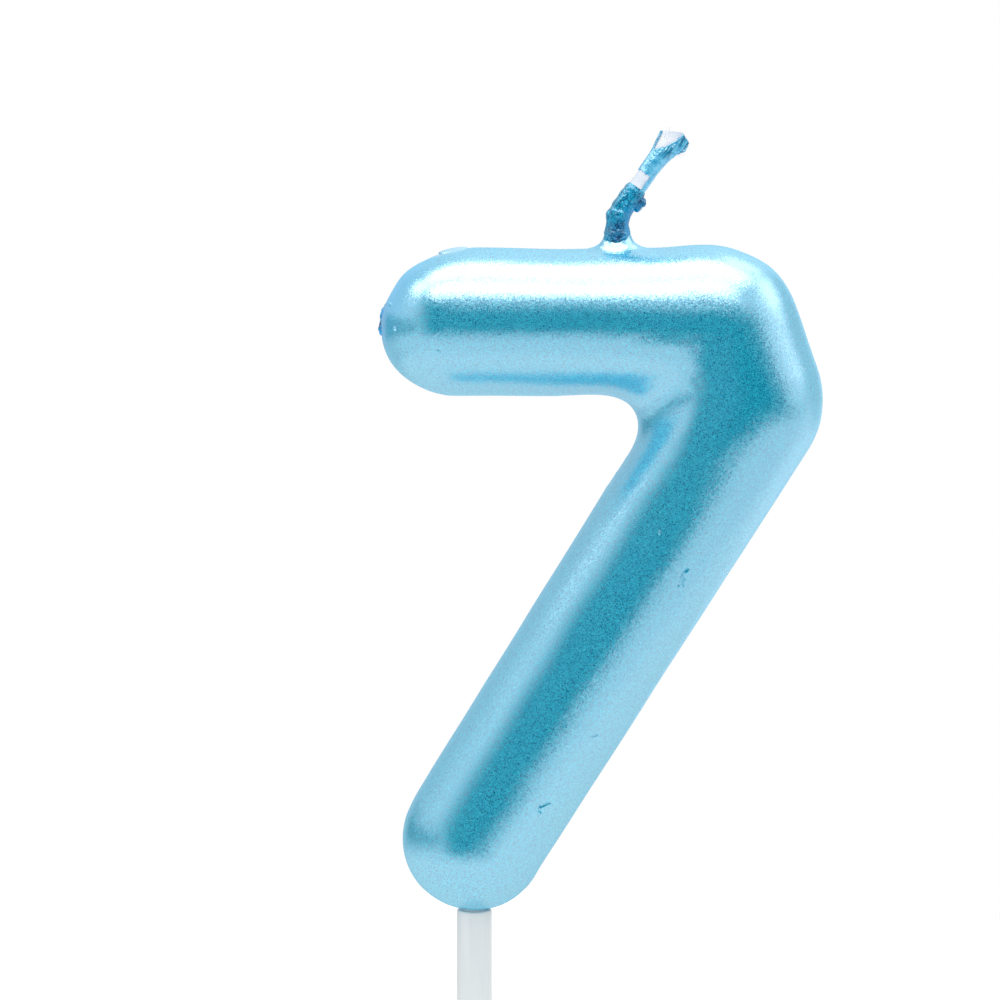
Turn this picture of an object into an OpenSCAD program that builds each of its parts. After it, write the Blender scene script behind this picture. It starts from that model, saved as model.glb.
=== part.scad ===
// Number birthday candle: a dipped wax numeral 7 on a plastic cake pick, with a plaited wick.
// Millimetres, +Z up. The origin is where the pick leaves the foot of the leg.
// +X runs along the bar, +Y away from the front of the numeral.

/* [Numeral] */
// Diameter of the stroke over the dip coat
stroke_d = 13; // [11:0.5:16]
// Height of the numeral from the foot of the leg to the top of the bar
body_h = 58.5; // [54:0.5:70]
// How far the bar's free end reaches to the left of the pick
bar_reach = 8.1; // [7:0.1:12]
// Lean of the leg from upright, in degrees
leg_lean = 32; // [29:1:35]
// Drop from the bar's centreline to the elbow, where the leg begins
elbow_drop = 7; // [5.5:0.5:9]
// How far the elbow stands out past the corner at the end of the bar
elbow_step = 2.3; // [1.5:0.1:3]
// Bend radius of the centreline at the corner and at the elbow
bend_r = 1.4; // [0.8:0.1:2]
// Radius of the inside corner between the bar and the leg
crotch_r = 2.8; // [2:0.1:4]
// Radius of the round web that fills the inside corner
web_r = 4; // [3:0.25:5]

/* [Dip coat] */
// Thickness of the pearl dip coat
coat_t = 0.4; // [0.25:0.05:0.8]
// Height that the coat climbs up the wick, and radius of its hollow flare
neck_h = 1.5; // [1:0.1:2]
// Diameter of the ball that makes the gate nib on the bar's free end
nib_d = 2.6; // [2:0.1:3.4]
// How far the gate nib stands proud of the coat
nib_proud = 0.3; // [0.2:0.05:0.5]

/* [Wick] */
// Distance from the bar's free end to the wick
wick_inset = 20.7; // [18:0.1:22]
// Straight rise of the wick out of the bar
stub_rise = 1.8; // [1.6:0.1:4]
// Lean of the wick's free end from upright, in degrees
stub_lean = 36.5; // [20:0.5:45]
// Bend radius where the wick leans over
stub_bend_r = 3.2; // [2:0.1:5]
// Length of the leaning stretch, to the cut end
stub_len = 7.6; // [7:0.1:12]
// Diameter of one cotton strand
strand_d = 0.4; // [0.3:0.02:0.5]
// Length of wick in which a strand crosses over and comes back
plait_pitch = 5.5; // [5:0.5:8]
// How much wider than the plait the cut end is spread
tip_spread = 1.3; // [0.5:0.1:1.6]
// Length over which the cut end spreads
tip_len = 2.4; // [1.5:0.1:3]
// Slant of the buried wick as it swings over to the leg, in degrees
bury_slant = 45; // [40:1:50]
// Bend radius of the buried wick under the bar's top
bury_bend_r = 4; // [3:0.5:5]
// Bend radius of the buried wick as it turns down the leg
leg_bend_r = 6; // [5:0.5:7]
// Depth of the first buried bend under the bar's top
bury_depth = 3; // [2.5:0.25:4]
// Height of the wick's lower end above the foot of the leg
wick_end_h = 16; // [14:1:24]

/* [Wick crust] */
// Thickness of the crust of dip coat on the lower wick
crust_t = 0.28; // [0.2:0.01:0.5]
// Thickness of the film on the upper wick
film_t = 0.1; // [0.08:0.01:0.18]
// Where the bare stretch of wick begins, along the leaning stretch
bare_from = 1.8; // [1.2:0.1:2.5]
// Length of the bare stretch
bare_len = 1.7; // [1:0.1:2.4]
// How far the largest lump stands out of the lower crust
lump_h = 0.45; // [0.2:0.05:0.7]

/* [Cake pick] */
// Diameter of the pick's shank
pick_d = 3; // [2.4:0.1:4]
// Length of the pick under the candle
pick_len = 30; // [20:1:45]
// Length of the pick's point
point_len = 8; // [5:0.5:12]
// Diameter of the flat at the tip of the point
point_d = 0.6; // [0.4:0.1:1]
// Diameter of the stem inside the wax
stem_d = 2.2; // [1.6:0.1:2.4]
// Length of the stem inside the wax
stem_len = 12; // [9:0.5:13]
// Number of barbs on the stem
barb_count = 3; // [2:1:4]
// Diameter over the barbs
barb_d = 3; // [2.6:0.1:3.2]
// Length of one barb
barb_len = 1.8; // [1.2:0.1:2.2]

/* [Fits] */
// Clearance between pieces that are moulded or dipped onto each other
fit_gap = 0.03; // [0.01:0.01:0.05]

/* [Hidden] */

$fn = 72;
strand_sides = 6;
rings_per_pitch = 12;
crust_sides = 16;
crust_ring_step = 0.3;
// The web starts this far under the rods, so that their surfaces cross instead of just touching
web_sink = 0.06;
// The neck's flare is let into the bar's top by this much, for the same reason
neck_sink = 0.05;

// Centreline of the numeral, in the plane of its face, as [x, z]
stroke_r = stroke_d / 2;
core_r = stroke_r - coat_t;
bar_z = body_h - stroke_r;
leg_foot = [0, stroke_r];
bar_tip = [stroke_r - bar_reach, bar_z];
elbow_z = bar_z - elbow_drop;
elbow = [leg_x(elbow_z), elbow_z];
corner = [elbow[0] - elbow_step, bar_z];
shoulder_heading = atan2(elbow[1] - corner[1], elbow[0] - corner[0]);
leg_heading = -90 - leg_lean;

// Centre of the inside corner, the same distance from the bar's underside and the leg's left side
crotch_off = stroke_r + crotch_r;
crotch_z = bar_z - crotch_off;
crotch = [leg_x(crotch_z) - crotch_off / cos(leg_lean), crotch_z];

// Wick, from its cut end to its lower end in the leg
wick_root = [wick_inset - bar_reach, body_h];
// Swings of a strand in the plait, front to back and sideways, that keep the strands a clearance apart
plait_depth = 0.617 * (strand_d + fit_gap);
plait_swing = 1.77 * plait_depth;
// No strand reaches further from the wick's middle than this
plait_r = 1.01 * plait_swing + strand_d / 2;
wick_bore_r = plait_r + fit_gap;
stub_bend = stub_bend_r * stub_lean * PI / 180;
lean_start = stub_rise + stub_bend;
stub_end = lean_start + stub_len;
stub_route = [[stub_rise, 0], [stub_bend, -stub_lean], [stub_len, 0]];

// The buried wick drops, slants over to the leg and turns down its centreline
slant_start = wick_root + [
    bury_bend_r * (1 - cos(bury_slant)),
    -bury_depth - bury_bend_r * sin(bury_slant)
];
leg_turn = leg_bend_r * [cos(leg_lean) - cos(bury_slant), -sin(leg_lean) - sin(bury_slant)];
turn_end_at_no_slant = slant_start + leg_turn;
slant_len = (leg_x(turn_end_at_no_slant[1]) - turn_end_at_no_slant[0])
    / (sin(bury_slant) + cos(bury_slant) * tan(leg_lean));
turn_end = turn_end_at_no_slant + slant_len * [sin(bury_slant), -cos(bury_slant)];
leg_run = (turn_end[1] - wick_end_h) / cos(leg_lean);
bury_route = [
    [bury_depth, 0],
    [bury_bend_r * bury_slant * PI / 180, bury_slant],
    [slant_len, 0],
    [leg_bend_r * (bury_slant + leg_lean) * PI / 180, -bury_slant - leg_lean],
    [leg_run, 0]
];
bury_end = route_length(bury_route);

// Crusts of dip coat, as stretches along the wick
crust_r = wick_bore_r + crust_t;
film_r = wick_bore_r + film_t;
crust_from = neck_h;
crust_to = lean_start + bare_from;
film_from = crust_to + bare_len;
film_to = stub_end - strand_d;

// x of the leg's centreline at a height
function leg_x(z) = (z - stroke_r) * tan(leg_lean);

function unit(v) = v / norm(v);
function direction(heading) = [cos(heading), sin(heading)];
function left_of(heading) = [-sin(heading), cos(heading)];
function ease(t) = let(c = max(0, min(1, t))) c * c * (3 - 2 * c);

// A route is a list of [length, turn] stretches: straight where turn is 0, an arc otherwise
function route_length(route, i = 0) = i == len(route) ? 0 : route[i][0] + route_length(route, i + 1);
function stretch_end(p, heading, length, turn) =
    turn == 0
    ? p + length * direction(heading)
    : let(r = length / (turn * PI / 180)) p + r * (left_of(heading) - left_of(heading + turn));
// [x, z, heading] at a distance along a route
function along(route, s, p, heading, i = 0) =
    let(length = route[i][0], turn = route[i][1])
    s <= length || i == len(route) - 1
    ? let(e = stretch_end(p, heading, s, turn * s / length)) [e[0], e[1], heading + turn * s / length]
    : along(route, s - length, stretch_end(p, heading, length, turn), heading + turn, i + 1);
// The wick at s: above the bar's top where s is positive, buried where it is negative
function wick_at(s) =
    s >= 0
    ? along(stub_route, s, wick_root, 90)
    : let(w = along(bury_route, -s, wick_root, -90)) [w[0], w[1], w[2] + 180];
// A point beside the wick: u to its left in the numeral's plane, v towards the back
function beside_wick(s, u, v) =
    let(w = wick_at(s), side = left_of(w[2])) [w[0] + u * side[0], v, w[1] + u * side[1]];

// How much the plait is spread at s
function spread(s) = 1 + tip_spread * ease((s - stub_end + tip_len) / tip_len);
// Length of plait between s and the cut end, where the strands come out of it and run side by side
function plaited(s) =
    let(back = stub_end - s) back < tip_len ? back * back / (2 * tip_len) : back - tip_len / 2;
// Centreline of a strand in a three-strand plait
function strand_at(k, s) =
    let(phase = 360 * (plaited(s) / plait_pitch + k / 3))
    beside_wick(s, plait_swing * spread(s) * sin(phase), plait_depth * sin(2 * phase));

// A closed solid through equal rings of points, each ring listed the same way round
module loft(rings) {
    n = len(rings[0]);
    last = len(rings) - 1;
    walls = [
        for (i = [0:last - 1], j = [0:n - 1])
            let(a = i * n + j, b = i * n + (j + 1) % n)
            each [[a, b, a + n], [b, b + n, a + n]]
    ];
    caps = [for (j = [1:n - 2]) each [[0, j + 1, j], [last * n, last * n + j, last * n + j + 1]]];
    polyhedron([for (ring = rings) each ring], concat(walls, caps));
}

// A closed tube with a wall, through outer and inner rings of equal counts
module loft_tube(outer, inner) {
    n = len(outer[0]);
    last = len(outer) - 1;
    in0 = len(outer) * n;
    walls = [
        for (i = [0:last - 1], j = [0:n - 1])
            let(a = i * n + j, b = i * n + (j + 1) % n, c = in0 + a, d = in0 + b)
            each [[a, b, a + n], [b, b + n, a + n], [c, c + n, d], [d, c + n, d + n]]
    ];
    ends = [
        for (j = [0:n - 1])
            let(k = (j + 1) % n, e = last * n)
            each [
                [j, in0 + j, k], [k, in0 + j, in0 + k],
                [e + j, e + k, in0 + e + j], [e + k, in0 + e + k, in0 + e + j]
            ]
    ];
    polyhedron([for (ring = concat(outer, inner)) each ring], concat(walls, ends));
}

// Stands up what is drawn lying on its back in the XY plane
module stand() rotate([90, 0, 0]) children();

// A round rod that lies from p to q, with a ball on its first end if asked for
module rod(p, q, r, ball = false) {
    translate([p[0], p[1], 0])
    rotate([0, 90, atan2(q[1] - p[1], q[0] - p[0])])
    rotate_extrude() {
        square([r, norm(q - p)]);
        if (ball) intersection() {
            circle(r);
            translate([0, -r]) square(r);
        }
    }
}

// The rounded outer side of a bend in the centreline, between headings h1 and h2
module bend(p, h1, h2, r) {
    c = bend_centre(p, h1, h2);
    translate([c[0], c[1], 0])
    rotate([0, 0, h2 + 90])
    rotate_extrude(angle = h1 - h2)
    intersection() {
        translate([bend_r, 0]) circle(r);
        translate([0, -r]) square([bend_r + r, 2 * r]);
    }
}

// Distance from a corner of the centreline to where its bend begins
function bend_reach(h1, h2) = bend_r * tan((h1 - h2) / 2);
function bend_centre(p, h1, h2) = p - bend_reach(h1, h2) * direction(h1) - bend_r * left_of(h1);

// The numeral as a ball of radius r leaves it when it runs along the centreline
module numeral(r) {
    corner_reach = bend_reach(0, shoulder_heading);
    elbow_reach = bend_reach(shoulder_heading, leg_heading);
    sink = web_sink * direction((90 - leg_lean) / 2);
    stand() {
        rod(bar_tip, corner - [corner_reach, 0], r, ball = true);
        bend(corner, 0, shoulder_heading, r);
        rod(
            corner + corner_reach * direction(shoulder_heading),
            elbow - elbow_reach * direction(shoulder_heading),
            r
        );
        bend(elbow, shoulder_heading, leg_heading, r);
        rod(leg_foot, elbow + elbow_reach * direction(leg_heading), r, ball = true);
        translate([crotch[0] + sink[0], crotch[1] + sink[1], 0])
        rotate([0, 0, -leg_lean])
        rotate_extrude(angle = 90 + leg_lean)
        translate([crotch_r + web_r, 0])
        circle(r - stroke_r + web_r);
    }
}

// The flare of dip coat that climbs the wick, down to a skirt inside the bar
module neck() {
    foot_r = crust_r + neck_h;
    skirt = neck_h;
    translate([wick_root[0], 0, wick_root[1] - neck_sink])
    rotate_extrude() {
        difference() {
            square([foot_r, neck_h + neck_sink]);
            translate([foot_r, neck_h]) circle(neck_h);
            translate([crust_r, neck_h]) square([foot_r, neck_h]);
        }
        polygon([[0, -skirt], [foot_r + skirt, -skirt], [foot_r, 0], [0, 0]]);
    }
}

// The vestige of the mould's gate, coated over, on the bar's free end
module gate_nib() {
    translate([bar_tip[0] - stroke_r - nib_proud + nib_d / 2, 0, bar_z])
    sphere(d = nib_d);
}

// The path of the buried wick as a round pipe, a clearance wider round its bends
module wick_pipe(r) {
    over = stroke_r;
    starts = [for (i = 0, s = 0; i < len(bury_route); s = s + bury_route[i][0], i = i + 1) s];
    translate([wick_root[0], 0, wick_root[1]]) cylinder(r = r, h = over);
    stand() for (i = [0:len(bury_route) - 1]) {
        w = along(bury_route, starts[i], wick_root, -90);
        length = bury_route[i][0];
        turn = bury_route[i][1];
        if (turn == 0) {
            rod([w[0], w[1]], stretch_end([w[0], w[1]], w[2], length, 0), r);
        } else {
            arc_r = length / (abs(turn) * PI / 180);
            side = turn > 0 ? 1 : -1;
            c = [w[0], w[1]] + side * arc_r * left_of(w[2]);
            translate([c[0], c[1], 0])
            rotate([0, 0, turn > 0 ? w[2] - 90 : w[2] + 90 + turn])
            rotate_extrude(angle = abs(turn))
            translate([arc_r, 0])
            circle(r + fit_gap);
        }
    }
}

// Outline of the pick's stem, grown by a clearance, as [radius, z]
function stem_outline(grow) =
    let(r = stem_d / 2 + grow, br = barb_d / 2 + grow, pitch = stem_len / (barb_count + 1))
    concat(
        [[0, 0], [r, 0]],
        [
            for (i = [1:barb_count])
                each [[r, i * pitch - barb_len / 2], [br, i * pitch - barb_len / 2], [r, i * pitch + barb_len / 2]]
        ],
        [[r, stem_len + grow], [0, stem_len + grow]]
    );

module wax_core() {
    color("ivory")
    difference() {
        numeral(core_r - fit_gap);
        wick_pipe(wick_bore_r);
        rotate_extrude() polygon(stem_outline(fit_gap));
    }
}

module pearl_coat() {
    color("skyblue")
    difference() {
        union() {
            numeral(stroke_r);
            neck();
            gate_nib();
        }
        numeral(core_r);
        translate([wick_root[0], 0, bar_z]) cylinder(r = wick_bore_r, h = stroke_d);
        translate([0, 0, -stroke_r]) cylinder(r = stem_d / 2 + fit_gap, h = stroke_d);
    }
}

// One strand of the plait, from the cut end to the lower end in the leg
module wick_strand(k) {
    run = stub_end + bury_end;
    steps = ceil(run / plait_pitch * rings_per_pitch);
    eps = 0.01;
    color("ghostwhite")
    loft([
        for (i = [0:steps])
            let(
                s = stub_end - run * i / steps,
                c = strand_at(k, s),
                t = unit(strand_at(k, s - eps) - c),
                a = unit(cross(t, [0, 1, 0])),
                b = cross(t, a)
            )
            [
                for (j = [0:strand_sides - 1])
                    let(f = 360 * j / strand_sides) c + strand_d / 2 * (cos(f) * a + sin(f) * b)
            ]
    ]);
}

// A ring of points round the wick at s: half width and half depth, and a bulge that varies round it
function crust_ring(s, w, d, lump = 0, round_at = 0) = [
    for (j = [0:crust_sides - 1])
        let(
            f = 360 * j / crust_sides,
            grow = lump * pow(max(0, cos(f - round_at)), 4)
        )
        beside_wick(s, (w + grow) * cos(f), (d + grow) * sin(f))
];
function stations(from, to) =
    let(steps = ceil((to - from) / crust_ring_step))
    [for (i = [0:steps]) from + (to - from) * i / steps];

// Thick crust on the lower wick, with the lump that hangs under its bend
module wick_crust_lower() {
    lump_at = lean_start + 0.6 * bare_from;
    lump_len = 0.5;
    waviness = crust_t / 6;
    wave_len = 1.4;
    color("steelblue")
    loft_tube(
        [
            for (s = stations(crust_from, crust_to))
                let(
                    swell = waviness * sin(360 * (s - crust_from) / wave_len),
                    near = exp(-pow((s - lump_at) / lump_len, 2))
                )
                crust_ring(s, crust_r + swell, crust_r + swell, lump_h * near, 180)
        ],
        [for (s = stations(crust_from, crust_to)) crust_ring(s, wick_bore_r, wick_bore_r)]
    );
}

// Thin crust on the upper wick, spread into a fan with the strands at the cut end
module wick_crust_upper() {
    color("lightskyblue")
    loft_tube(
        [
            for (s = stations(film_from, film_to))
                let(fan = plait_swing * (spread(s) - 1)) crust_ring(s, film_r + fan, film_r)
        ],
        [
            for (s = stations(film_from, film_to))
                let(fan = plait_swing * (spread(s) - 1)) crust_ring(s, wick_bore_r + fan, wick_bore_r)
        ]
    );
}

module cake_pick() {
    color("whitesmoke")
    union() {
        rotate_extrude() polygon(stem_outline(0));
        rotate_extrude()
        polygon([
            [0, -pick_len], [point_d / 2, -pick_len], [pick_d / 2, point_len - pick_len],
            [pick_d / 2, 0], [0, 0]
        ]);
    }
}

wax_core();
pearl_coat();
wick_strand(0);  // wick_strand_1
wick_strand(1);  // wick_strand_2
wick_strand(2);  // wick_strand_3
wick_crust_lower();
wick_crust_upper();
cake_pick();
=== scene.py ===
import bpy
import bmesh
import math
import random
from mathutils import Matrix, Vector, noise


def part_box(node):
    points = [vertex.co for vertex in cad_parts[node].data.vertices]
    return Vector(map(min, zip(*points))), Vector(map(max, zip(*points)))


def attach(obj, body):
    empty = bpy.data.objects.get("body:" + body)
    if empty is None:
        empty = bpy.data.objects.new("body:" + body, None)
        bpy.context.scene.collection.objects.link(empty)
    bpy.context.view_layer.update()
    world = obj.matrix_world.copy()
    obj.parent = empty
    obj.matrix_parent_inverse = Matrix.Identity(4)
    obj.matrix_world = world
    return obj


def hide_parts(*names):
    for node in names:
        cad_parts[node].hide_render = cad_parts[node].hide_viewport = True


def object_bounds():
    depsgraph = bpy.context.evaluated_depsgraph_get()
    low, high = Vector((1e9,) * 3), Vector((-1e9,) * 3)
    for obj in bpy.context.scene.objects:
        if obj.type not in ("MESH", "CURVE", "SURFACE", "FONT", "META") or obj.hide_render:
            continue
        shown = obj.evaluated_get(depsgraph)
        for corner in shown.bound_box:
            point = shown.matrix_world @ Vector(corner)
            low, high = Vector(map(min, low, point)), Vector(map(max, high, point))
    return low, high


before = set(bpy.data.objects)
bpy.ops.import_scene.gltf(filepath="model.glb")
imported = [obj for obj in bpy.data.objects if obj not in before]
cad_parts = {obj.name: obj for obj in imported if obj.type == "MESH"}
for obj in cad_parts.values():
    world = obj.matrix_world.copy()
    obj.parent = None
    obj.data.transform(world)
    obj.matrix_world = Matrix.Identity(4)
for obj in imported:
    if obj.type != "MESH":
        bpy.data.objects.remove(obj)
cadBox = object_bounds()
print("frame loaded:", sorted(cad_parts))

mm = 0.001
up = Vector((0, 0, 1))
back = Vector((0, 1, 0))


def linear(hexColour, alpha=1.0):
    channels = [int(hexColour[i:i + 2], 16) / 255 for i in (1, 3, 5)]
    return [c / 12.92 if c <= 0.04045 else ((c + 0.055) / 1.055) ** 2.4 for c in channels] + [alpha]


def ease(t):
    t = min(1.0, max(0.0, t))
    return t * t * (3 - 2 * t)


def hump(t):
    return ease(1 - abs(t))  # 1 at t = 0, flat to 0 at t = -1 and 1


def crinkled(p, size):
    return 1 - 2 * abs(noise.noise(p / size))  # ridges where the noise crosses zero


def between(table, s):
    # value at s from a short table of (place in mm, value in mm), along straight lines
    s /= mm
    if s <= table[0][0]:
        return table[0][1] * mm
    for (s0, w0), (s1, w1) in zip(table, table[1:]):
        if s <= s1:
            return (w0 + (w1 - w0) * (s - s0) / (s1 - s0)) * mm
    return table[-1][1] * mm


def feed(tree, node, inputs):
    # an output is linked, anything else is set as a value
    for socket, value in inputs.items():
        if isinstance(value, bpy.types.NodeSocket):
            tree.links.new(value, node.inputs[socket])
        else:
            node.inputs[socket].default_value = value


def addNode(tree, kind, inputs=None, **settings):
    node = tree.nodes.new("ShaderNode" + kind)
    for name, value in settings.items():
        setattr(node, name, value)
    feed(tree, node, inputs or {})
    return node


def ramp(tree, value, start, end, low=0.0, high=1.0, kind="SMOOTHSTEP"):
    return addNode(tree, "MapRange", {
        "Value": value, "From Min": start, "From Max": end, "To Min": low, "To Max": high,
    }, interpolation_type=kind).outputs["Result"]


def maths(tree, operation, *values):
    return addNode(tree, "Math", dict(enumerate(values)), operation=operation).outputs[0]


def mixed(tree, amount, first, second):
    # two colours, each a socket or a hex value
    first, second = (linear(c) if isinstance(c, str) else c for c in (first, second))
    return addNode(tree, "Mix", {0: amount, 6: first, 7: second}, data_type="RGBA").outputs[2]


def farFrom(tree, coords, place):
    return addNode(tree, "VectorMath", {0: coords, 1: place}, operation="DISTANCE").outputs["Value"]


def newMaterial(name):
    material = bpy.data.materials.new(name)
    material.use_nodes = True
    tree = material.node_tree
    surface = tree.nodes["Principled BSDF"]
    coords = tree.nodes.new("ShaderNodeTexCoord").outputs["Object"]
    return material, tree, surface, coords


def addPiece(name, bm, material, node):
    mesh = bpy.data.meshes.new(name)
    bm.to_mesh(mesh)
    bm.free()
    mesh.shade_smooth()
    mesh.materials.append(material)
    piece = bpy.data.objects.new(name, mesh)
    bpy.context.scene.collection.objects.link(piece)
    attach(piece, "root")
    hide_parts(node)
    print(name, "made:", len(mesh.polygons), "faces")
    return piece


def turned(bm, profile, base, axis, steps=64):
    # profile is (distance along the axis, radius), spun a full turn
    axis = axis.normalized()
    side = axis.orthogonal().normalized()
    verts = [bm.verts.new(base + axis * a + side * r) for a, r in profile]
    edges = [bm.edges.new(pair) for pair in zip(verts, verts[1:])]
    bmesh.ops.spin(bm, geom=verts + edges, cent=base, axis=axis, angle=2 * math.pi, steps=steps, use_merge=True)


def sealed(bm, distance=1e-6):
    bmesh.ops.remove_doubles(bm, verts=bm.verts, dist=distance)
    bmesh.ops.recalc_face_normals(bm, faces=bm.faces)


def remeshed(bm, voxel):
    # fuses overlapping closed shapes into one skin
    mesh = bpy.data.meshes.new("toFuse")
    bm.to_mesh(mesh)
    bm.free()
    rough = bpy.data.objects.new("toFuse", mesh)
    bpy.context.scene.collection.objects.link(rough)
    fuse = rough.modifiers.new("fuse", "REMESH")
    fuse.mode = "VOXEL"
    fuse.voxel_size = voxel
    graph = bpy.context.evaluated_depsgraph_get()
    fused = bmesh.new()
    fused.from_mesh(rough.evaluated_get(graph).to_mesh())
    bpy.data.objects.remove(rough)
    bpy.data.meshes.remove(mesh)
    return fused


def smoothed(bm, verts, times, factor=0.5):
    for _ in range(times):
        bmesh.ops.smooth_vert(bm, verts=verts, factor=factor, use_axis_x=True, use_axis_y=True, use_axis_z=True)


# Camera: square on to the numeral, a little above, with a long lens
shot = {
    "width": 87.84 * mm,            # what the frame takes in at the numeral
    "centre": Vector((2.28, 0, 36.38)) * mm,
    "elevation": 4,
    "lens": 100,
    "sensor": 36,
}
tilt = math.radians(shot["elevation"])
camera = bpy.data.objects.new("camera", bpy.data.cameras.new("camera"))
camera.data.lens = shot["lens"]
camera.data.sensor_width = shot["sensor"]
camera.data.clip_start = 0.01
away = Vector((0, -math.cos(tilt), math.sin(tilt)))
camera.location = shot["centre"] + away * (shot["width"] * shot["lens"] / shot["sensor"])
camera.rotation_euler = (math.pi / 2 - tilt, 0, 0)
bpy.context.scene.collection.objects.link(camera)
bpy.context.scene.camera = camera
bpy.context.scene.view_settings.view_transform = "Standard"
print("camera set")

# White sweep all round, a dim room on the camera's side, softboxes for the lustre and one soft fill for the colour
studio = {
    "sweep": 0.86,
    "backdropLeft": 0.7,
    "backdropRight": 1.25,
    "backdropDepth": (-0.2, 0.6),   # over which the sweep turns into the backdrop, and its left into its right
    "backdropSpan": (-0.7, 0.25),
    "room": 0.0,
    "roomFoot": (-26, -13),         # degrees of height over which the room begins and ends
    "roomFootRise": 0.08,           # its foot rises towards the right
    "roomTop": (21, 36),
    "roomTopFall": 0.12,            # the room's top edge comes down towards the right
    "roomLeft": (-67, -33),         # degrees to either side of the camera
    "roomLeftRise": 0.4,            # its left edge runs outward as it rises
    "roomRight": (113, 27),
    # soft panes on the right, and where the sweep is dimmer:
    # way there, degrees to the edge and to the full part, light
    "panes": [
        (Vector((0.8, 0.04, 0.6)), (23, 4), 1.45),
        (Vector((0.4, 0.32, 0.86)), (15, 5), 1.5),
        (Vector((0.92, -0.28, 0.25)), (27, 6), 0.5),
    ],
    "dim": (Vector((0.8, 0.55, 0.2)), (34, 10), 0.6),
    # dim strip along the horizon on the left: headings and heights over which it comes and goes, light
    "strip": ((-150, -130, -70, -50), (-13, -4, 5, 14), 0.35),
    "boxes": [
        # centre, size, power
        (Vector((0.01, -0.028, 0.467)), (0.56, 0.236), 1.28),
        (Vector((-0.05, -0.244, 0.394)), (0.5, 0.17), 0.87),
        (Vector((-0.375, 0.015, 0.415)), (0.25, 0.2), 0.35),
    ],
    "fill": (Vector((-0.1, -0.45, 0.14)), (0.4, 0.4), 1.42),
    "aim": Vector((0.02, 0, 0.05)),
    "floor": "#cac9c4",
    "floorSize": 0.11,
    "floorCentre": Vector((0.005, 0.04, 0)),
    # the paper is lit through, more for the camera, so that only the shadow shows
    "glow": (0.34, 0.72),
}
world = bpy.data.worlds.new("studio")
world.use_nodes = True
bpy.context.scene.world = world
tree = world.node_tree
tree.nodes.clear()
direction = addNode(tree, "TexCoord").outputs["Generated"]
heading = addNode(tree, "SeparateXYZ", {0: direction})
rightward, backward, height = (heading.outputs[axis] for axis in "XYZ")


def times(*values):
    product = values[0]
    for value in values[1:]:
        product = maths(tree, "MULTIPLY", product, value)
    return product


def towards(way, reach, low, high):
    near = addNode(tree, "VectorMath", {0: direction, 1: way.normalized()}, operation="DOT_PRODUCT").outputs["Value"]
    edge, full = (math.cos(math.radians(a)) for a in reach)
    return ramp(tree, near, edge, full, low, high)


# the dim room
foot, top = ([math.sin(math.radians(a)) for a in studio[k]] for k in ("roomFoot", "roomTop"))
left, right = ([math.radians(a) for a in studio[k]] for k in ("roomLeft", "roomRight"))
turn = maths(tree, "ARCTAN2", rightward, maths(tree, "MULTIPLY", backward, -1.0))
raised = maths(tree, "MULTIPLY_ADD", maths(tree, "MAXIMUM", turn, 0.0), -studio["roomFootRise"], height)
fallen = maths(tree, "MULTIPLY_ADD", turn, studio["roomTopFall"], height)
slanted = maths(tree, "MULTIPLY_ADD", height, studio["roomLeftRise"], turn)
inRoom = times(
    ramp(tree, raised, foot[0], foot[1]), ramp(tree, fallen, top[1], top[0]),
    ramp(tree, slanted, left[0], left[1]), ramp(tree, turn, right[0], right[1]),
)
# the sweep and its dimmer places
behind = ramp(tree, backward, *studio["backdropDepth"])
across = ramp(tree, rightward, *studio["backdropSpan"])
backdrop = addNode(tree, "Mix", {0: across, 2: studio["backdropLeft"], 3: studio["backdropRight"]}).outputs[0]
bright = addNode(tree, "Mix", {0: behind, 2: studio["sweep"], 3: backdrop}).outputs[0]
way, reach, keep = studio["dim"]
bright = times(bright, towards(way, reach, 1.0, keep))
headings, heights, keep = studio["strip"]
headings, heights = [math.radians(a) for a in headings], [math.sin(math.radians(a)) for a in heights]
inStrip = times(
    ramp(tree, turn, headings[0], headings[1]), ramp(tree, turn, headings[3], headings[2]),
    ramp(tree, height, heights[0], heights[1]), ramp(tree, height, heights[3], heights[2]),
)
bright = times(bright, ramp(tree, inStrip, 0.0, 1.0, 1.0, keep))
level = addNode(tree, "Mix", {0: inRoom, 2: bright, 3: studio["room"]}).outputs[0]
for way, reach, strength in studio["panes"]:
    level = maths(tree, "ADD", level, towards(way, reach, 0.0, strength))
path = addNode(tree, "LightPath")
seen = addNode(tree, "Mix", {0: path.outputs["Is Camera Ray"], 2: level, 3: 1.0})     # plain white behind the candle
sky = addNode(tree, "Background", {"Color": linear("#ffffff"), "Strength": seen.outputs[0]})
addNode(tree, "OutputWorld", {"Surface": sky.outputs[0]})


def addSoftbox(name, centre, size, power):
    softbox = bpy.data.objects.new(name, bpy.data.lights.new(name, "AREA"))
    softbox.data.shape = "RECTANGLE"
    softbox.data.size, softbox.data.size_y = size
    softbox.data.energy = power
    softbox.location = centre
    softbox.rotation_euler = (studio["aim"] - centre).to_track_quat("-Z", "Y").to_euler()
    bpy.context.scene.collection.objects.link(softbox)
    return softbox


for number, box in enumerate(studio["boxes"], 1):
    addSoftbox(f"softbox{number}", *box).visible_diffuse = False
addSoftbox("fill", *studio["fill"]).visible_glossy = False

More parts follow.
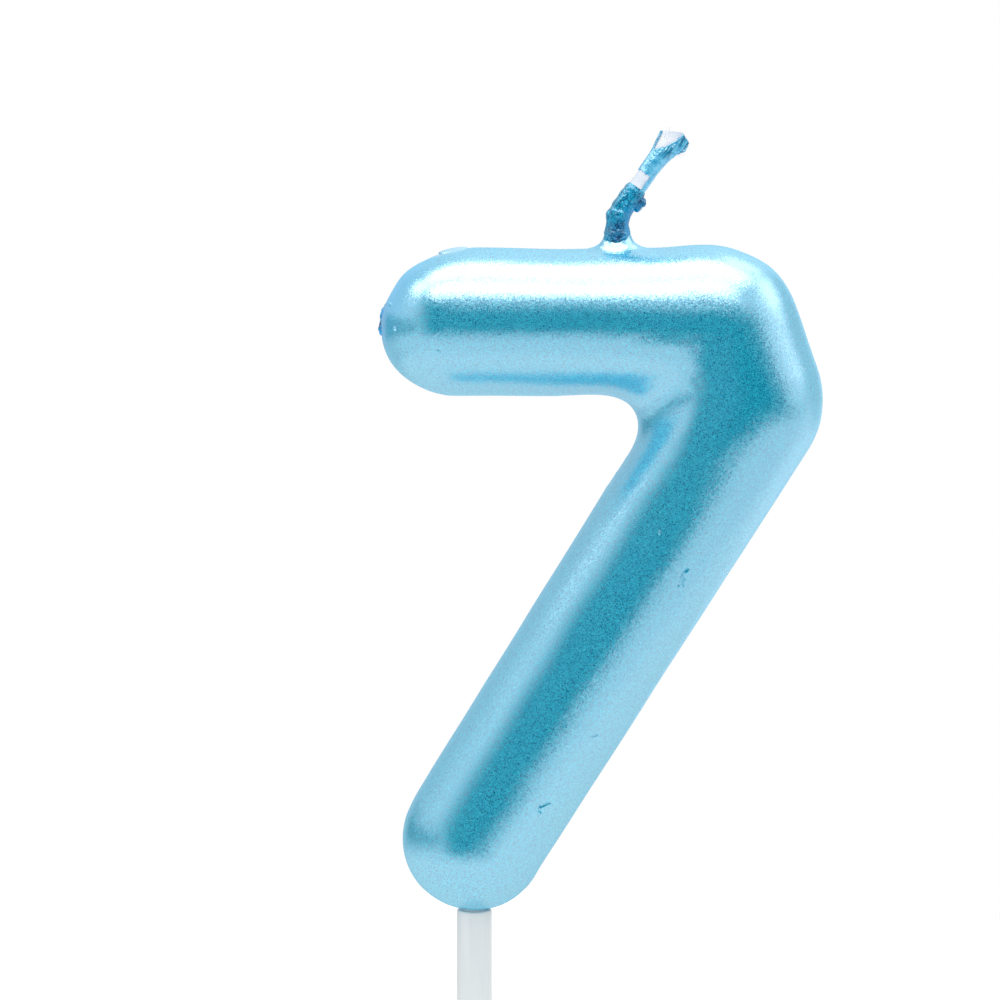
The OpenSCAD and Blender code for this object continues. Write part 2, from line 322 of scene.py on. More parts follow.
bm = bmesh.new()
bmesh.ops.create_circle(bm, cap_ends=True, segments=96, radius=studio["floorSize"],
                        matrix=Matrix.Translation(studio["floorCentre"] + up * cadBox[0][2]))
floorMesh = bpy.data.meshes.new("floor")
bm.to_mesh(floorMesh)
bm.free()
floor = bpy.data.objects.new("floor", floorMesh)
bpy.context.scene.collection.objects.link(floor)
paper, tree, surface, coords = newMaterial("studioPaper")
path = addNode(tree, "LightPath")
glow = addNode(tree, "Mix", {0: path.outputs["Is Camera Ray"], 2: studio["glow"][0], 3: studio["glow"][1]})
feed(tree, surface, {
    "Base Color": linear(studio["floor"]), "Roughness": 0.9,
    "Emission Color": linear("#ffffff"), "Emission Strength": glow.outputs[0],
})
floorMesh.materials.append(paper)
print("studio set")

# The numeral's centreline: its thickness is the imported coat's, and its sizes are close to those of the solids
coatLow, coatHigh = (Vector(c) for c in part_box("pearl_coat"))
numeral = {
    "strokeRadius": (coatHigh.y - coatLow.y) / 2,
    "barTip": -8.1 * mm,            # where the bar's free end begins, without its nib
    "bodyHigh": 58.5 * mm,
    "legLean": 32,
    "elbowDrop": 7 * mm,
    "elbowStep": 2.45 * mm,
    "bendRadius": 1.4 * mm,
    "insideRadius": 2.8 * mm,
    "webRadius": 3 * mm,
    "legRadiusTop": 6.66 * mm,      # the leg swells a little towards the elbow
    "legRadiusFoot": 6.38 * mm,
}
strokeR = numeral["strokeRadius"]
barZ = numeral["bodyHigh"] - strokeR
lean = math.radians(numeral["legLean"])


def legX(z):
    return (z - strokeR) * math.tan(lean)


legFoot = Vector((0, 0, strokeR))
barTip = Vector((numeral["barTip"] + strokeR, 0, barZ))
elbow = Vector((legX(barZ - numeral["elbowDrop"]), 0, barZ - numeral["elbowDrop"]))
corner = Vector((elbow.x - numeral["elbowStep"], 0, barZ))
legWay = (legFoot - elbow).normalized()
insideOff = strokeR + numeral["insideRadius"]
insideCorner = Vector((legX(barZ - insideOff) - insideOff / math.cos(lean), 0, barZ - insideOff))

wick = {
    "root": Vector((12.5, -0.7, 58.46)) * mm,   # a little in front of the middle
    "rise": 1.8 * mm,
    "lean": 36.5,
    "bendRadius": 3.2 * mm,
    "length": 7.6 * mm,
    # the buried part
    "drop": 3 * mm,
    "slant": 45,
    "slantRadius": 4 * mm,
    "legRadius": 6 * mm,
    "endHigh": 16 * mm,
    # the plait
    "swing": 0.47 * mm,
    "depth": 0.265 * mm,
    "pitch": 5.5 * mm,
    "tipSpread": 0.6,
    "shift": 0.09 * mm,             # the upper wick sits a little to the left in its film
    "tipLength": 2.4 * mm,
}
leanStart = wick["rise"] + wick["bendRadius"] * math.radians(wick["lean"])
wickEnd = leanStart + wick["length"]


def buriedRoute():
    # drops, slants over to the leg and turns down its centreline
    slant = math.radians(wick["slant"])
    r, leg = wick["slantRadius"], wick["legRadius"]
    x = wick["root"].x + r * (1 - math.cos(slant)) + leg * (math.cos(lean) - math.cos(slant))
    z = wick["root"].z - wick["drop"] - r * math.sin(slant) - leg * (math.sin(lean) + math.sin(slant))
    across = (legX(z) - x) / (math.sin(slant) + math.cos(slant) * math.tan(lean))
    down = (z - across * math.cos(slant) - wick["endHigh"]) / math.cos(lean)
    return [(wick["drop"], 0), (r * slant, slant), (across, 0), (leg * (slant + lean), -slant - lean), (down, 0)]


aboveRoute = [(wick["rise"], 0), (leanStart - wick["rise"], -math.radians(wick["lean"])), (wick["length"], 0)]
belowRoute = buriedRoute()
wickBuried = sum(length for length, turn in belowRoute)


def alongRoute(route, s, heading):
    # place and heading after s of straight stretches and arcs
    point = wick["root"].copy()
    for number, (length, turn) in enumerate(route):
        step = s if number == len(route) - 1 else min(s, length)
        way = Vector((math.cos(heading), 0, math.sin(heading)))
        if turn:
            radius = length / turn
            newHeading = heading + turn * step / length
            point += radius * (Vector((-math.sin(heading), 0, math.cos(heading)))
                               - Vector((-math.sin(newHeading), 0, math.cos(newHeading))))
            heading = newHeading
        else:
            point += way * step
        s -= step
        if s <= 0:
            break
    return point, heading


def besideWick(s, u, v):
    # u to the left of the wick as the camera sees it, v towards the back
    if s >= 0:
        point, heading = alongRoute(aboveRoute, s, math.pi / 2)
    else:
        point, heading = alongRoute(belowRoute, -s, -math.pi / 2)
        heading += math.pi
    return point + u * Vector((-math.sin(heading), 0, math.cos(heading))) + v * back


def strandAt(k, s):
    tip = wick["tipLength"]
    rest = wickEnd - s
    plaited = rest * rest / (2 * tip) if rest < tip else rest - tip / 2
    phase = 2 * math.pi * (plaited / wick["pitch"] + k / 3)
    spread = 1 + wick["tipSpread"] * ease((tip - rest) / tip)
    shift = wick["shift"] * ease((s - leanStart) / mm)
    return besideWick(s, shift + wick["swing"] * spread * math.sin(phase), wick["depth"] * math.sin(2 * phase))


def wrapped(bm, around, along, place, capped=True):
    # a flat patch sent to its place by place(turn, way), both from 0 to 1, and closed where its sides meet
    patch = bmesh.ops.create_grid(bm, x_segments=around, y_segments=along, size=0.5)["verts"]
    for v in patch:
        v.co = place(v.co.x + 0.5, v.co.y + 0.5)
    bmesh.ops.remove_doubles(bm, verts=patch, dist=1e-7)
    if capped:
        bmesh.ops.holes_fill(bm, edges=[e for e in bm.edges if e.is_boundary])


def thread(bm, path, radius, around=5, steps=10):
    # a thin closed rod along path(way), which thins out to its end
    def place(turn, way):
        here, ahead = path(way), path(way + 0.01)
        axis = (ahead - here).normalized()
        side = axis.cross(back).normalized()
        a = 2 * math.pi * turn
        return here + radius * (1 - 0.6 * way) * (math.cos(a) * side + math.sin(a) * axis.cross(side))

    wrapped(bm, around, steps, place)


# Cast paraffin: milky, with light that soaks in
def castWax():
    material, tree, surface, coords = newMaterial("castParaffin")
    cloud = addNode(tree, "TexNoise", {"Vector": coords, "Scale": 1 / (4 * mm), "Detail": 3.0})
    feed(tree, surface, {
        "Base Color": mixed(tree, cloud.outputs["Fac"], "#f3efe2", "#e6dfcb"),
        "Roughness": 0.45,
        "IOR": 1.44,
        "Subsurface Weight": 0.4,
        "Subsurface Radius": (2 * mm, 1.6 * mm, 1.2 * mm),
    })
    return material


# Dip coat
coat = {
    "wall": 0.4 * mm,
    "voxel": 0.34 * mm,
    # height of the flare above the bar's top at distances from the wick's middle, both in mm
    "neck": [(0.9, 2.3), (0.98, 1.9), (1.08, 1.5), (1.18, 1.1), (1.34, 0.72), (1.5, 0.53), (1.7, 0.37), (1.95, 0.23),
             (2.23, 0.12), (2.6, 0.04), (3.0, -0.02)],
    # the bar's free end: how much its upper side is flattened, and where that is less and the end is fuller,
    # as height in mm, bearing and reach in degrees
    "endFlat": 0.5 * mm,
    "endFlatFrom": (72, 42),        # bearing where it begins and ends, and over how many degrees
    "endFlatTo": (177, 34),
    "endLess": (0.18, 141, 27),
    "endFull": (0.22, 209, 45),
    "cornerFull": [(0.26, 42, 36), (0.13, 8, 30)],      # the outer corner, given in the same way
    "topWave": [(0.24, 20, 8), (-0.12, 16.2, 3.6), (-0.13, 7.5, 7)],    # height, place along the bar and reach in mm
    "uneven": 0.05 * mm,
    "unevenSize": 6 * mm,
    # the skin is smoothed round a spot in the inside corner: radians up and distance from the corner's middle
    "crotch": (0.5, 5.5 * mm),
    "crotchReaches": [9 * mm, 7.5 * mm, 6 * mm, 4.5 * mm],
    # extra wax in the valley between bar and leg: its middle, its spread and how far it comes out
    "valley": Vector((17.6, 0, 45.1)) * mm,
    "valleyReach": 3.4 * mm,
    "valleyFill": 1.0 * mm,
    # lumps of the nib where the lacquer dripped off the bar's end, and the low pool they stand in:
    # place and half sizes in mm, and how rough each is
    "nib": [
        ((-7.75, 0, 52.5), (0.4, 0.6, 0.75), 0.3),
        ((-7.78, -0.1, 52.0), (0.4, 0.7, 0.6), 0.3),
        ((-7.8, 0, 51.5), (0.46, 0.65, 0.78), 0.3),
        ((-7.58, -0.15, 52.15), (0.45, 1.7, 1.5), 0.1),
    ],
    # scale that stands off the bar's top: place, half sizes and slope in degrees
    "scale": ((-1.8, -0.2, 58.22), (1.3, 1.3, 0.23), -10),
    # creases and scratches on the front, as points (x, z) in mm with half width and depth
    "marks": [
        ([(18.41, 30.88), (18.07, 30.52), (18.1, 30.08), (17.96, 29.46)], 0.2, 0.13),
        ([(17.68, 30.3), (17.62, 29.46)], 0.18, 0.06),
        ([(17.9, 30.3), (17.8, 29.7)], 0.16, -0.05),
        ([(18.8, 28.95), (18.46, 27.44), (18.36, 26.71), (18.01, 25.74), (17.62, 24.36), (17.04, 23.1)], 0.22, 0.04),
        ([(19.92, 32.26), (19.73, 31.64)], 0.2, 0.04),
        ([(10.28, 16.34), (10.5, 16.3), (10.72, 16.43)], 0.16, 0.06),
        ([(5.74, 9.75), (5.8, 10.19)], 0.24, 0.14),
        ([(5.8, 10.19), (6.24, 10.37), (6.59, 10.47)], 0.16, 0.08),
        # pits
        ([(-7.29, 53.6), (-7.27, 53.55)], 0.22, -0.13),
        ([(-6.76, 51.47), (-6.74, 51.42)], 0.2, 0.12),
        ([(-3.06, 49.7), (-3.0, 49.66)], 0.16, 0.06),
        ([(-4.77, 46.3), (-4.65, 46.22)], 0.2, 0.07),
        ([(2.1, 48.6), (2.16, 48.56)], 0.15, 0.05),
        ([(15.89, 34.1), (15.92, 34.0)], 0.18, 0.06),
    ],
}


def rod(bm, start, end, r0, r1):
    along = end - start
    turned(bm, [(0, 0), (0, r0), (along.length, r1), (along.length, 0)], start, along)


def ball(bm, centre, radius):
    bmesh.ops.create_icosphere(bm, subdivisions=5, radius=radius, matrix=Matrix.Translation(centre))


def bendSpots(point, inWay, outWay, steps=7):
    # places along a rounded corner of the centreline
    turn = inWay.angle(outWay)
    reach = numeral["bendRadius"] * math.tan(turn / 2)
    axis = inWay.cross(outWay).normalized()
    start = point - inWay * reach
    centre = start + axis.cross(inWay) * numeral["bendRadius"]
    return [centre + Matrix.Rotation(turn * i / steps, 3, axis) @ (start - centre) for i in range(steps + 1)]


nibAt = Vector((-7.98, 0, 51.9)) * mm
neckTop = coat["neck"][0][1] * mm
neckInner, neckOuter = coat["neck"][0][0] * mm, coat["neck"][-1][0] * mm


def steeper(a, r):
    # the flare's radius is drawn in on the front
    return neckInner + (r - neckInner) * (1 - 0.35 * ease(-1.1 * math.sin(a)))


def topFall(y):
    return strokeR - math.sqrt(strokeR ** 2 - y * y)    # of the bar's round top


def makeCore(bm):
    # the casting follows its coat, one wall further in
    dent(bm)
    bm.normal_update()
    inward = [v.normal * -coat["wall"] for v in bm.verts]
    for v, move in zip(bm.verts, inward):
        v.co += move
    addPiece("waxCore", bm, castWax(), "wax_core")


def makeCoat(material, nibMaterial):
    bm = bmesh.new()
    shoulderWay = (elbow - corner).normalized()
    legTop, legEnd = numeral["legRadiusTop"], numeral["legRadiusFoot"]
    atCorner = bendSpots(corner, Vector((1, 0, 0)), shoulderWay)
    atElbow = bendSpots(elbow, shoulderWay, legWay)
    rod(bm, barTip, atCorner[0], strokeR, strokeR)
    rod(bm, atCorner[-1], atElbow[0], strokeR, legTop)
    rod(bm, atElbow[-1], legFoot, legTop, legEnd)
    # web that rounds the inside corner
    webR = numeral["webRadius"]
    spoke = Matrix.Rotation(lean, 4, back) @ Vector((numeral["insideRadius"] + webR, 0, 0))
    ring = bmesh.ops.create_circle(bm, segments=32, radius=webR, cap_ends=True,
                                   matrix=Matrix.Translation(insideCorner + spoke) @ Matrix.Rotation(lean, 4, back))
    rim = {e for v in ring["verts"] for e in v.link_edges}
    bmesh.ops.spin(bm, geom=list(rim) + ring["verts"], cent=insideCorner, axis=back,
                   angle=-math.pi / 2 - lean, steps=40)
    bmesh.ops.holes_fill(bm, edges=[e for e in bm.edges if e.is_boundary])
    ball(bm, barTip, strokeR)
    ball(bm, legFoot + Vector((0, 0, legEnd - strokeR)), legEnd)
    for spot in atCorner:
        ball(bm, spot, strokeR)
    for spot in atElbow:
        ball(bm, spot, legTop)
    sealed(bm)
    bm = remeshed(bm, coat["voxel"])

    smoothed(bm, bm.verts, 6)
    slope, distance = coat["crotch"]
    crotch = insideCorner + Vector((math.cos(slope), 0, math.sin(slope))) * distance
    for reach in coat["crotchReaches"]:
        smoothed(bm, [v for v in bm.verts if (v.co - crotch).length < reach], 30)
    makeCore(bm.copy())

    # flare up the wick, laid on the bar's round top
    def flare(turn, way):
        a, r = 2 * math.pi * turn, neckInner + (neckOuter - neckInner) * way
        high = between(coat["neck"], r)
        r = steeper(a, r)
        aside = Vector((r * math.cos(a), r * math.sin(a), 0))
        return wick["root"] + aside + up * (high - topFall(wick["root"].y + aside.y))

    wrapped(bm, 72, 30, flare, capped=False)
    bmesh.ops.recalc_face_normals(bm, faces=bm.faces)
    dent(bm)
    mark(bm)
    before = len(bm.faces)
    for centre, half, rough in coat["nib"]:
        wrapped(bm, 40, 28, lambda turn, way: lumpAt(Vector(centre), half, turn, way, rough), capped=False)
    bm.faces.ensure_lookup_table()
    for face in bm.faces[before:]:
        face.material_index = 1
    centre, half, slope = coat["scale"]

    def draped(turn, way):
        p = lumpAt(Vector(centre), half, turn, way, 0.06, slope)
        return p - up * 1.6 * topFall(p.y)

    wrapped(bm, 40, 20, draped, capped=False)
    bmesh.ops.recalc_face_normals(bm, faces=bm.faces)
    piece = addPiece("pearlCoat", bm, material, "pearl_coat")
    piece.data.materials.append(nibMaterial)


def lumpAt(centre, half, turn, way, rough, slope=0):
    # a crumpled lump, with sizes in mm
    a, b = 2 * math.pi * turn, math.pi * way
    lump = Vector((half[0] * math.cos(b), half[1] * math.sin(b) * math.sin(a), half[2] * math.sin(b) * math.cos(a)))
    lump *= 1 + rough * (noise.noise((centre + lump) / 0.35) + 0.4 * crinkled(centre + lump, 0.25))
    return (centre + Matrix.Rotation(math.radians(slope), 3, back) @ lump) * mm


def mark(bm):
    # the skin is refined along each mark, and then pressed in
    def off(p, line):
        q = Vector((p.x, p.z)) / mm
        return min((q - closest(q, Vector(a), Vector(b))).length for a, b in zip(line, line[1:]))

    def closest(q, a, b):
        along = b - a
        return a + along * min(1.0, max(0.0, (q - a).dot(along) / along.length_squared))

    for cuts, margin in ((2, 0.45), (1, 0.1)):
        edges = set()
        for line, width, depth in coat["marks"]:
            low, high = min(line, key=lambda q: q[1])[1] - 1, max(line, key=lambda q: q[1])[1] + 1
            left, right = min(line)[0] - 1, max(line)[0] + 1
            for face in bm.faces:
                p = face.calc_center_median()
                if p.y < 0 and low < p.z / mm < high and left < p.x / mm < right and off(p, line) < width + margin:
                    edges.update(face.edges)
        bmesh.ops.subdivide_edges(bm, edges=list(edges), cuts=cuts, use_grid_fill=True)
    bm.normal_update()
    for line, width, depth in coat["marks"]:
        for v in bm.verts:
            # only what lies near the mark
            if v.co.y < 0 and abs(v.co.z / mm - line[0][1]) < 8 and abs(v.co.x / mm - line[0][0]) < 4:
                v.co -= v.normal * depth * mm * hump(off(v.co, line) / width)


def dent(bm):
    # what casting and dipping left uneven
    bm.normal_update()
    moves = []
    for v in bm.verts:
        p, n = v.co, v.normal
        rimward = ease(1.3 * (1 - abs(n.y)))            # 1 on the numeral's outline, 0 on its front and back
        # the bar's end is flattened above and full below
        fromTip = p - barTip
        bearing = math.degrees(math.atan2(fromTip.z, fromTip.x))
        less, centre, reach = coat["endLess"]
        flat = coat["endFlat"] - less * mm * hump((bearing - centre) / reach)
        (first, rise), (last, fall) = coat["endFlatFrom"], coat["endFlatTo"]
        push = -flat * ease((bearing - first) / rise) * ease((last - bearing) / fall) * rimward
        high, centre, reach = coat["endFull"]
        push += high * mm * hump(math.remainder(bearing - centre, 360) / reach) * ease(-1.2 * n.x)
        # the outer corner is full
        fromCorner = p - corner
        bearing = math.degrees(math.atan2(fromCorner.z, fromCorner.x))
        full = sum(high * hump((bearing - centre) / reach) for high, centre, reach in coat["cornerFull"])
        outward = ease(1.5 * n.x + n.z) * ease((fromCorner.length / strokeR - 0.5) * 4)
        push += full * mm * rimward * outward
        # the bar's top runs in a slow wave
        topness = ease(n.z) * ease((p.z - barZ) / strokeR)
        for high, centre, reach in coat["topWave"]:
            push += topness * high * mm * hump((p.x / mm - centre) / reach)
        push += coat["uneven"] * noise.noise(p / coat["unevenSize"])
        # wax fills the valley between bar and leg, front and back
        away = (Vector((p.x, 0, p.z)) - coat["valley"]).length / coat["valleyReach"]
        sideways = max(-1, min(1, p.y / (0.8 * strokeR)))
        filled = coat["valleyFill"] * math.exp(-away * away / 2) * math.sin(math.pi / 2 * sideways)
        moves.append(n * push + back * filled)
    for v, move in zip(bm.verts, moves):
        v.co += move


# Pearl dip lacquer: mica flakes in a clear teal film. The flakes give a broad pale-blue lustre that sparkles
# a little from flake to flake, and the film shows deep teal where they face away from the light.
def pearlLacquer():
    material, tree, surface, coords = newMaterial("pearlLacquer")
    flake = 0.06 * mm                # coarser than real mica, so that the grain shows
    # where the film's colour differs: place, reach and full reach in mm, colour, how much
    zones = [
        ((-6.6, 0, 54.2), (6.5, 1.5), "#1cc6ff", 1),            # bright blue over the bar's end
        (nibAt / mm, (3.4, 0.9), "#089edc", 1),                 # deep blue at the nib
        ((-2.1, -0.2, 58.4), (2.2, 1.4), "#a4daf2", 0.85),      # pale on the loose scale
        ((5.78, -6.2, 10), (0.6, 0.1), "#2f4a52", 0.8),         # dirt in the mark near the foot
    ]
    cells = addNode(tree, "TexVoronoi", {"Vector": coords, "Scale": 1 / flake}).outputs["Color"]
    shade = addNode(tree, "SeparateColor", {0: cells}).outputs[0]
    drift = addNode(tree, "TexNoise", {"Vector": coords, "Scale": 1 / (7 * mm), "Detail": 3.0}).outputs["Fac"]
    drift = ramp(tree, drift, 0.35, 0.75, 0.0, 0.15, "LINEAR")
    tone = mixed(tree, drift, mixed(tree, shade, "#007cac", "#1ce0ff"), "#00a8d6")
    for centre, (outer, inner), colour, amount in zones:
        far = farFrom(tree, coords, Vector(centre) * mm)
        tone = mixed(tree, ramp(tree, far, outer * mm, inner * mm, 0.0, amount), tone, colour)
    # each flake leans its own way
    tip = addNode(tree, "VectorMath", {0: cells, 1: (0.5, 0.5, 0.5)}, operation="SUBTRACT").outputs[0]
    tip = addNode(tree, "VectorMath", {0: tip, "Scale": 0.15}, operation="SCALE").outputs[0]
    facing = addNode(tree, "NewGeometry").outputs["Normal"]
    facing = addNode(tree, "VectorMath", {0: facing, 1: tip}, operation="ADD").outputs[0]
    facing = addNode(tree, "VectorMath", {0: facing}, operation="NORMALIZE").outputs[0]
    feed(tree, surface, {
        "Base Color": tone,
        "Normal": facing,
        "Roughness": ramp(tree, shade, 0.0, 1.0, 0.13, 0.255, "LINEAR"),
        "IOR": 2.9,
        "Specular IOR Level": 1.0,
        "Specular Tint": linear("#d3ebfc"),
    })
    return material


# Dip lacquer gone thick: deep blue where it pooled, teal on the crests, with hard wet glints, and painted shade that
# darkens the front and the right of the neck
def pooledLacquer():
    material, tree, surface, coords = newMaterial("pooledLacquer")
    unpooledUnshaded = 1.0                      # 0 in each pool and in the painted shade on the neck's front, 1 away from them
    for centre, full, rim in poolsAndShade:
        unpooledUnshaded = maths(tree, "MULTIPLY", unpooledUnshaded, ramp(tree, farFrom(tree, coords, centre), full, rim))
    mottle = addNode(tree, "TexNoise", {"Vector": coords, "Scale": 1 / (0.45 * mm), "Detail": 3.0, "Roughness": 0.6})
    speck = addNode(tree, "TexVoronoi", {"Vector": coords, "Scale": 1 / (0.13 * mm)})
    speck = addNode(tree, "SeparateColor", {0: speck.outputs["Color"]}).outputs[0]
    speckled = addNode(tree, "Mix", {0: 0.45, 2: mottle.outputs["Fac"], 3: speck}).outputs[0]
    patches = ramp(tree, speckled, 0.3, 0.72, kind="LINEAR")
    crest = mixed(tree, patches, "#04608a", "#2cb4dc")
    deep = mixed(tree, patches, "#012a58", "#0880b4")
    tone = mixed(tree, unpooledUnshaded, deep, crest)
    # painted shade: a deeper blue down the right of the neck, standing for the dark room that side reflects
    place = addNode(tree, "SeparateXYZ", {0: coords})
    root = wick["root"]
    side = ramp(tree, place.outputs["X"], root.x + 0.35 * mm, root.x + 0.8 * mm)
    low = ramp(tree, place.outputs["Z"], root.z + 4 * mm, root.z + 3 * mm)
    tone = mixed(tree, maths(tree, "MULTIPLY", side, low), tone, "#0088bc")
    # bright blue round the nib
    atEnd = maths(tree, "LESS_THAN", place.outputs["X"], 0.0)
    tone = mixed(tree, maths(tree, "MULTIPLY", atEnd, unpooledUnshaded), tone, "#18a8ee")
    wrinkle = addNode(tree, "TexVoronoi", {"Vector": coords, "Scale": 1 / (0.24 * mm)}, feature="SMOOTH_F1")
    relief = addNode(tree, "Bump", {"Height": wrinkle.outputs["Distance"], "Strength": 0.5, "Distance": 0.1 * mm})
    feed(tree, surface, {
        "Base Color": tone,
        "Normal": relief.outputs[0],
        "Roughness": ramp(tree, unpooledUnshaded, 0.0, 1.0, 0.28, 0.09, "LINEAR"),  # hard and wet on the lumps, dull in the pools
        "IOR": 1.9,
        "Specular IOR Level": 0.65,
        "Specular Tint": linear("#b8e8ff"),
    })
    return material


chipAt = (4.75 * mm, -0.93 * mm, -0.1 * mm)     # along the wick, to its left, to the back
# where the lacquer pooled, and the painted shade on the neck's front: middle, full and outer reach
poolsAndShade = [
    # painted shade: this first entry darkens the camera-facing front of the neck to deep navy, standing for the dark
    # room that front reflects
    (wick["root"] + Vector((0.3, -1, 1.2)) * mm, 0.6 * mm, 1.7 * mm),
    (besideWick(*chipAt), 0.5 * mm, 1.0 * mm),
    (nibAt, 0.15 * mm, 1.1 * mm),
]
pooled = pooledLacquer()
makeCoat(pearlLacquer(), pooled)


# Thin cracked film on the upper wick: broken away on the bare stretch and opening out at the cut end
film = {
    "start": 5.5 * mm,
    "end": 11.9 * mm,
    "wall": 0.07 * mm,
    "bareStart": 5.6 * mm,
    "bareEnd": 7.0 * mm,
    "bareRound": (-122, 115),       # degrees round the wick from its left, where it is bare
    "crinkle": 0.02 * mm,
    "lump": 0.03 * mm,
    # half widths along the wick, to its left, its right and in depth
    "left": [(5.5, 0.84), (6.9, 0.84), (8.6, 0.88), (9.2, 0.95), (9.8, 1.06), (10.9, 1.23), (11.9, 1.32)],
    "right": [(5.5, 0.68), (7.4, 0.66), (8.8, 0.73), (9.4, 0.84), (9.9, 0.98), (10.3, 1.18), (10.7, 1.42), (11.9, 1.3)],
    "deep": [(5.5, 0.8), (8.4, 0.76), (9.6, 0.6), (10.6, 0.46), (11.9, 0.4)],
    "split": [(9.2, 0.7), (10.1, 0), (11.9, -0.6)],    # where the front of the end opens, across at distances along
}


# Plaited cotton, waxed: three yarns, plump where the wick is bare and fraying at the cut end
cotton = {
    "buriedRadius": 0.2 * mm,
    "openRadius": 0.27 * mm,
    "ply": 1.1 * mm,                # length of one turn of the yarn
    "plyDepth": 0.09,
    "fibres": 7,                    # loose ends of one yarn
    "fibreRadius": 0.03 * mm,
    "matted": (5.3, 7.6),           # stretch of the wick where the outer fibres are stuck together, in mm
    "fanStart": 8.8 * mm,
    "buriedRings": 0.34,            # share of a yarn's rings in the first part of its run, and how long that part is
    "buriedRun": 0.8,
    # the cut edge, as distance along the wick at places across it
    "cut": [(-1.45, 10.75), (-1.27, 11.45), (-0.38, 11.8), (1.22, 10.86)],
    # hairs at the right edge: along and across, from and to, in mm
    "hairs": [((9.9, -0.9), (10.35, -1.62)), ((10.2, -1.1), (10.5, -1.75)), ((10.5, -1.2), (11.05, -1.72)),
              ((10.7, -1.2), (11.3, -1.6)), ((10.0, -1.0), (10.0, -1.5)), ((10.8, -1.0), (11.5, -1.42))],
}


def matted(turn, way):
    # outer fibres stuck together with wax, on the bare stretch
    start, end = cotton["matted"]
    s, a = (start + (end - start) * way) * mm, 2 * math.pi * turn
    comb = noise.noise(Vector((4 * math.cos(a), 4 * math.sin(a), s / (2 * mm))))
    under = (0.03 - 0.025 * comb) * mm
    wide = between(film["left"] if math.cos(a) > 0 else film["right"], s) - under
    deep = between(film["deep"], s) - under
    return besideWick(s, wide * math.cos(a), deep * math.sin(a))


def fanned(turn, way):
    # fibres combed flat and wide by the cut
    a = 2 * math.pi * turn
    across = math.cos(a)
    cut = between(cotton["cut"], 1.3 * across * mm) + 0.16 * mm * noise.noise(Vector((across * 17, 3, math.sin(a))))
    s = cotton["fanStart"] + (cut - cotton["fanStart"]) * way
    comb = noise.noise(Vector((across * 13, s / (1.8 * mm), 5 * math.sin(a))))
    wide = between(film["left"] if across > 0 else film["right"], s) - 0.07 * mm
    deep = between(film["deep"], s) * 0.75 + 0.03 * mm * comb
    return besideWick(s, wide * across, deep * math.sin(a))


def makeStrand(number, material):
    k = number - 1
    bm = bmesh.new()
    run = wickEnd - 2 * mm + wickBuried
    rings, part = cotton["buriedRings"], cotton["buriedRun"]

    def place(turn, way):
        # two thirds of the rings are in the part that shows
        if way < rings:
            s = -wickBuried + run * part * way / rings
        else:
            s = -wickBuried + run * (part + (1 - part) * (way - rings) / (1 - rings))
        here = strandAt(k, s)
        axis = (strandAt(k, s + 0.02 * mm) - here).normalized()
        side = axis.cross(back).normalized()
        a = 2 * math.pi * turn
        fat = cotton["buriedRadius"] + (cotton["openRadius"] - cotton["buriedRadius"]) * ease((s + mm) / (2 * mm))
        fat *= 1 + cotton["plyDepth"] * math.cos(4 * a - 2 * math.pi * s / cotton["ply"])
        # the cut end is pressed flat and wide
        tip = ease((s - wickEnd + 2.6 * mm) / (1.6 * mm))
        wide, deep = fat * (1 + 0.35 * tip), fat * (1 - 0.7 * tip)
        return here + wide * math.cos(a) * side + deep * math.sin(a) * axis.cross(side)

    wrapped(bm, 20, 420, place)
    if number == 1:
        wrapped(bm, 96, 60, fanned, capped=False)
    if number == 2:
        wrapped(bm, 72, 50, matted, capped=False)
    # loose ends fan out from the yarn
    draw = random.Random(40 + number)
    for _ in range(cotton["fibres"]):
        start = wickEnd - draw.uniform(1.5, 2.4) * mm
        end = wickEnd + draw.uniform(-0.4, 0.25) * mm
        u0, v0 = draw.uniform(-0.16, 0.16) * mm, draw.uniform(-0.08, 0.08) * mm
        u1, v1 = draw.uniform(-0.45, 0.45) * mm, draw.uniform(-0.12, 0.12) * mm
        bow = draw.uniform(-0.12, 0.12) * mm

        def path(way):
            s = start + (end - start) * way
            _, heading = alongRoute(aboveRoute, s, math.pi / 2)
            side = Vector((-math.sin(heading), 0, math.cos(heading)))
            reach = way * way
            u = u0 + (u1 - u0) * reach + bow * math.sin(math.pi * way)
            return strandAt(k, s) + side * u + back * (v0 + (v1 - v0) * reach)

        thread(bm, path, cotton["fibreRadius"])
    if number == 3:
        for (s0, u0), (s1, u1) in cotton["hairs"]:
            def hair(way):
                s, u = s0 + (s1 - s0) * way, u0 + (u1 - u0) * way
                return besideWick(s * mm, u * mm, 0.25 * mm * math.sin(3 * way + s0))

            thread(bm, hair, cotton["fibreRadius"])
    sealed(bm)
    addPiece(f"wickStrand{number}", bm, material, f"wick_strand_{number}")


def alongWick(tree, coords):
    # distances along the leaning stretch of the wick, measured as s is, and to its left
    start, heading = alongRoute(aboveRoute, leanStart, math.pi / 2)
    way = Vector((math.cos(heading), 0, math.sin(heading)))
    aside = Vector((-math.sin(heading), 0, math.cos(heading)))
    off = addNode(tree, "VectorMath", {0: coords, 1: start}, operation="SUBTRACT").outputs[0]
    ahead, sideways = (addNode(tree, "VectorMath", {0: off, 1: axis}, operation="DOT_PRODUCT").outputs["Value"]
                       for axis in (way, aside))
    return addNode(tree, "CombineXYZ", {0: maths(tree, "ADD", ahead, leanStart), 1: sideways}).outputs[0]


